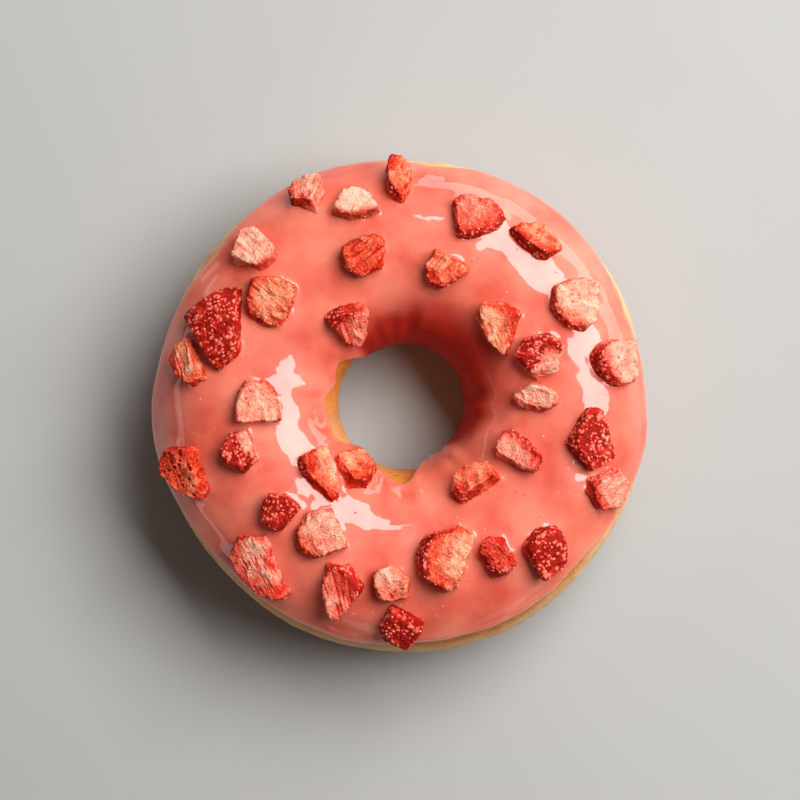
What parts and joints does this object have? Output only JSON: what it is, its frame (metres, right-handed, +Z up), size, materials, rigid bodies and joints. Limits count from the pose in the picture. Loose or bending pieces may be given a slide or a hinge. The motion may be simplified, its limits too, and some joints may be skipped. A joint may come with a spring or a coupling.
{
  "type": "strawberry doughnut",
  "caption": "Ring doughnut on its flat underside, with a baked golden crust, a coat of glossy strawberry icing over its top and cut pieces of freeze-dried strawberry set on the icing",
  "frame": {"origin": "on the surface that the doughnut stands on, in the middle of its outline seen from above", "axes": "+Z is up, through the hole and out of the iced top; +X is the right and +Y the upper side of the doughnut as the picture shows it from above"},
  "size_m": [0.0946, 0.0952, 0.0362],
  "materials": {
    "dough": "baked golden-brown doughnut crust, matt with a faint sheen of oil, paler in a belt round its widest part",
    "icing": "smooth, glossy, set strawberry icing in coral pink",
    "strawberry_pale": "dry, pale pink-white freeze-dried flesh, reddening towards its skin",
    "strawberry_pink": "dry pink freeze-dried flesh with fine grooves, dark red at its skin",
    "strawberry_orange": "dry orange-red freeze-dried flesh with fine pores, dark red at its skin",
    "strawberry_dark": "dark red, wrinkled freeze-dried skin with straw-coloured seeds in its dimples"
  },
  "bodies": {
    "root": {"dough": "dough", "icing": "icing", "strawberry_01": "strawberry_pink", "strawberry_02": "strawberry_orange", "strawberry_03": "strawberry_pale", "strawberry_04": "strawberry_pink", "strawberry_05": "strawberry_orange", "strawberry_06": "strawberry_pale", "strawberry_07": "strawberry_orange", "strawberry_08": "strawberry_orange", "strawberry_09": "strawberry_orange", "strawberry_10": "strawberry_dark", "strawberry_11": "strawberry_pale", "strawberry_12": "strawberry_orange", "strawberry_13": "strawberry_pink", "strawberry_14": "strawberry_dark", "strawberry_15": "strawberry_pink", "strawberry_16": "strawberry_orange", "strawberry_17": "strawberry_pale", "strawberry_18": "strawberry_pale", "strawberry_19": "strawberry_dark", "strawberry_20": "strawberry_dark", "strawberry_21": "strawberry_pink", "strawberry_22": "strawberry_orange", "strawberry_23": "strawberry_orange", "strawberry_24": "strawberry_orange", "strawberry_25": "strawberry_orange", "strawberry_26": "strawberry_pink", "strawberry_27": "strawberry_dark", "strawberry_28": "strawberry_pale", "strawberry_29": "strawberry_pink", "strawberry_30": "strawberry_orange", "strawberry_31": "strawberry_dark", "strawberry_32": "strawberry_dark", "strawberry_33": "strawberry_pink", "strawberry_34": "strawberry_pale", "strawberry_35": "strawberry_dark"}
  },
  "joints": []
}
